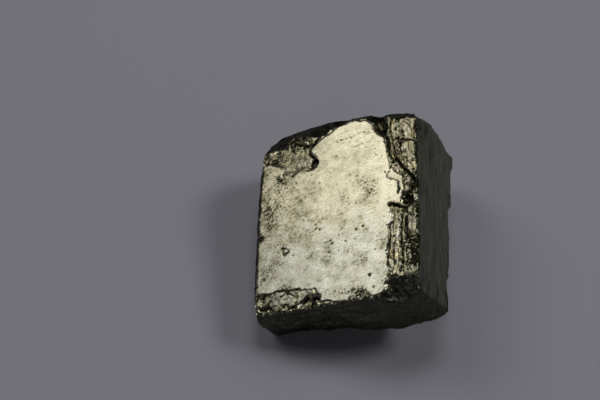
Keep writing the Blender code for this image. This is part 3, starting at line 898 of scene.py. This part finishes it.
def pyrite_material():
    """Pale brass mirror with streaks, pits, grain and tarnish, and a grey skin on the sides."""
    made = bpy.data.materials.new("pyrite")
    made.use_nodes = True
    tree = made.node_tree
    shader = tree.nodes["Principled BSDF"]
    shader.inputs["Metallic"].default_value = 1.0
    space = crystal_space(tree)
    shader.inputs["Specular Tint"].default_value = EDGE_TINT
    across, along = add_node(tree, "SeparateXYZ", {0: space}).outputs[:2]
    mask_names = ("tarnish", "brass", "grain", "patina")
    tarnish, brass, grain, patina = (attribute(tree, name) for name in mask_names)

    level, slant = streaks(tree, space, LEVEL_TURN), streaks(tree, space, SLANT_TURN)
    streak = between(tree, remap(tree, across, 4.0, 13.0), slant, level)
    lengthwise = add_node(tree, "Mapping", {"Vector": space, "Scale": (1.0, 0.13, 1.0)}).outputs[0]
    brushed = cloudy(tree, lengthwise, 1.7, 6.0, 0.6)
    drawn_out = between(tree, patina, streak, brushed)
    mottle = cloudy(tree, space, 0.42, 8.0, 0.66)
    speckle = cloudy(tree, space, 3.2, 3.0, 0.7)
    smudge = cloudy(tree, space, 0.21, 6.0, 0.7)
    rusty = cloudy(tree, space, 2.3, 2.0, 0.6)
    dots = add_node(tree, "TexVoronoi", {"Vector": space, "Scale": 1.25, "Randomness": 1.0})
    dot_size = remap(tree, cloudy(tree, space, 0.35, 2.0), 0.42, 0.62, 0.0, 0.16)
    pits = remap(tree, maths(tree, "SUBTRACT", dots.outputs["Distance"], dot_size), -0.05, 0.02, 1.0, 0.0)
    grains = add_node(tree, "TexVoronoi", {"Vector": space, "Scale": 4.2}, feature="F1")
    grain_tone = add_node(tree, "SeparateColor", {0: grains.outputs["Color"]}).outputs[0]

    # how worn each place is: patchy wear, plus painted shade that deepens towards the left rim
    left_shade, past_front = remap(tree, across, 10, 0, 0, 0.6), remap(tree, along, 4, 12, 0, 1.15)
    wear_and_shade = add(tree, remap(tree, mottle, 0.38, 0.64, 0.25, 1.2), times(tree, left_shade, past_front))
    # painted light: the marks thin out at the back right, where the top face is brightest
    wear_and_shade = times(tree, wear_and_shade, remap(tree, add(tree, across, along), 30.0, 42.0, 1.0, 0.5))

    # the film on the metal: tarnish, fine lines, freckles, smudges, grains and pits
    flecks = times(tree, remap(tree, speckle, 0.25, 0.75, -0.75, 0.75), remap(tree, tarnish, 0.0, 0.3))
    film = remap(tree, add(tree, tarnish, flecks), 0.1, 0.86)
    lines = times(tree, wear_and_shade, remap(tree, streak, 0.6, 0.36, 0.0, 0.34))
    freckles = times(tree, wear_and_shade, remap(tree, speckle, 0.54, 0.7, 0.0, 0.45))
    film = add(tree, film, add(tree, lines, freckles))
    film = add(tree, film, times(tree, wear_and_shade, remap(tree, smudge, 0.44, 0.68, 0.0, 0.24)))
    film = add(tree, film, times(tree, grain, remap(tree, grain_tone, 0.55, 1.0, 0.0, 0.3)))
    film = maths(tree, "MAXIMUM", film, times(tree, pits, 0.75), clamp=True)

    creamy = add(tree, along, times(tree, mottle, 22.0))
    colour = blend(tree, remap(tree, creamy, 20.5, 26.0), SILVER, CREAM)
    colour = blend(tree, remap(tree, streak, 0.52, 0.72, 0.0, 0.5), colour, STRAW)
    colour = blend(tree, brass, colour, BRASS)
    colour = blend(tree, times(tree, wear_and_shade, remap(tree, rusty, 0.56, 0.66, 0.0, 0.8)), colour, RUSTY)
    colour = blend(tree, remap(tree, film, 0.0, 0.65), colour, HAZE)
    scraped = remap(tree, speckle, 0.42, 0.3, 0.0, -0.8)
    lighter = add(tree, remap(tree, brushed, 0.4, 0.6), scraped, clamp=True)
    skin = blend(tree, lighter, OLD_TARNISH, TARNISH)
    colour = blend(tree, remap(tree, film, 0.3, 0.92), colour, blend(tree, patina, DIRT, skin))
    tree.links.new(colour, shader.inputs["Base Color"])

    dull = remap(tree, drawn_out, 0.35, 0.7, 0.2, 0.34)
    dull = add(tree, dull, times(tree, grain, 0.08))
    dull = add(tree, dull, times(tree, film, 0.18), clamp=True)
    tree.links.new(dull, shader.inputs["Roughness"])

    relief = times(tree, drawn_out, 0.22)
    relief = add(tree, relief, times(tree, speckle, 0.45))
    relief = add(tree, relief, times(tree, grain_tone, times(tree, grain, 0.6)))
    relief = maths(tree, "SUBTRACT", relief, times(tree, pits, 0.8))
    bump = add_node(tree, "Bump", {"Height": relief, "Strength": 0.6, "Distance": 0.036 * MM})
    tree.links.new(bump.outputs[0], shader.inputs["Normal"])
    return made


crystal.data.materials.append(pyrite_material())
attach(crystal, "root")
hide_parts(NODE)
print("pyrite has", len(crystal.data.materials[0].node_tree.nodes), "nodes")

# %% [markdown]
# ## The table
#
# A plain pale sheet, a little bluish and quite matt. Soft mottling and a hardly visible tooth
# keep it from looking like a flat colour.

# %% Table
TABLE_SIZE = 4.0  # metres
TABLE_COLOUR, TABLE_SHADE = (0.745, 0.73, 0.83, 1), (0.72, 0.705, 0.8, 1)


def table_top():
    """A square sheet at height 0 with a matt paper finish."""
    half = TABLE_SIZE / 2
    mesh = bpy.data.meshes.new("table")
    corners = [(-half, -half, 0), (half, -half, 0), (half, half, 0), (-half, half, 0)]
    mesh.from_pydata(corners, [], [(0, 1, 2, 3)])
    made = bpy.data.objects.new("table", mesh)
    bpy.context.scene.collection.objects.link(made)
    paper = bpy.data.materials.new("paper")
    paper.use_nodes = True
    tree = paper.node_tree
    shader = tree.nodes["Principled BSDF"]
    place = add_node(tree, "TexCoord").outputs["Object"]
    cloud, tooth = cloudy(tree, place, 14.0, 4.0), cloudy(tree, place, 1800.0, 3.0)
    colour = blend(tree, remap(tree, cloud, 0.35, 0.65), TABLE_COLOUR, TABLE_SHADE)
    tree.links.new(colour, shader.inputs["Base Color"])
    bump = add_node(tree, "Bump", {"Height": tooth, "Strength": 0.25, "Distance": 0.05 * MM})
    tree.links.new(bump.outputs[0], shader.inputs["Normal"])
    shader.inputs["Roughness"].default_value = 0.9
    shader.inputs["Specular IOR Level"].default_value = 0.2
    made.data.materials.append(paper)
    return made


table_top()
print("table", TABLE_SIZE, "m square")

# %% [markdown]
# ## Light
#
# Three round soft lamps hang over the table: one to the right, one almost overhead and a
# little behind, and a broad one to the left, which is what the top face mirrors. How wide each
# looks from the crystal sets how soft its shadow is, and its share of the light sets how deep.
# A weak and very wide fourth fills in the front face. The world gives the little light that the
# room gives, with a brighter horizon for the metal to mirror.

# %% Lamps and world
LAMP_DISTANCE = 1.6  # metres from the crystal
TABLE_LIGHT = 0.7  # light falling on the table, lamps and room together
LAMPS = {  # direction towards the lamp, how wide it looks in degrees, share of the light
    "right_lamp": ((0.706, 0.127, 0.696), 19.0, 0.4),
    "back_lamp": ((0.036, 0.36, 0.932), 22.0, 0.31),
    "left_lamp": ((-0.59, 0.345, 0.73), 27.5, 0.27),
    "front_fill": ((0.285, -0.81, 0.515), 50.0, 0.04),
}
HORIZON, ZENITH = (0.08, 0.08, 0.084, 1), (0.01, 0.01, 0.011, 1)


def lamp(name, direction, width, share):
    """A round area lamp facing the crystal, with power for its share of the table's light."""
    towards = Vector(direction).normalized()
    light = bpy.data.lights.new(name, "AREA")
    light.shape = "DISK"
    light.size = 2 * LAMP_DISTANCE * tan(radians(width / 2))
    light.energy = share * TABLE_LIGHT * pi * LAMP_DISTANCE**2 / towards.z
    made = bpy.data.objects.new(name, light)
    made.location = towards * LAMP_DISTANCE
    made.rotation_euler = towards.to_track_quat("Z", "Y").to_euler()
    bpy.context.scene.collection.objects.link(made)
    print(name, round(light.energy, 2), "W,", round(light.size, 2), "m across")


def room():
    """A dim world, brighter near the horizon than overhead."""
    world = bpy.data.worlds.new("room")
    world.use_nodes = True
    tree = world.node_tree
    up = add_node(tree, "SeparateXYZ", {0: add_node(tree, "TexCoord").outputs["Generated"]}).outputs[2]
    sky = blend(tree, remap(tree, up, 0.05, 0.45), HORIZON, ZENITH)
    tree.links.new(sky, tree.nodes["Background"].inputs["Color"])
    bpy.context.scene.world = world


for name, (direction, width, share) in LAMPS.items():
    lamp(name, direction, width, share)
room()

# %% [markdown]
# ## Camera
#
# It looks down at the crystal from the front with a long lens, aimed at a place on the table
# a little to the left of the crystal, so the crystal stands right of the middle.

# %% Camera
AIM = Vector((-8.43, 10.8, 0.0)) * MM
DISTANCE, ELEVATION = 192.7 * MM, radians(53.52)
LENS, SENSOR = 72.8, 36.0  # focal length and width of the sensor, mm

camera_data = bpy.data.cameras.new("camera")
camera_data.lens = LENS
camera_data.sensor_width = SENSOR
camera_data.clip_start, camera_data.clip_end = 0.01, 20.0
camera = bpy.data.objects.new("camera", camera_data)
back = Vector((0.0, -cos(ELEVATION), sin(ELEVATION)))
camera.location = AIM + back * DISTANCE
camera.rotation_euler = back.to_track_quat("Z", "Y").to_euler()
bpy.context.scene.collection.objects.link(camera)
bpy.context.scene.camera = camera
bpy.context.scene.view_settings.view_transform = "Standard"
print("camera at", [round(v, 3) for v in camera.location])
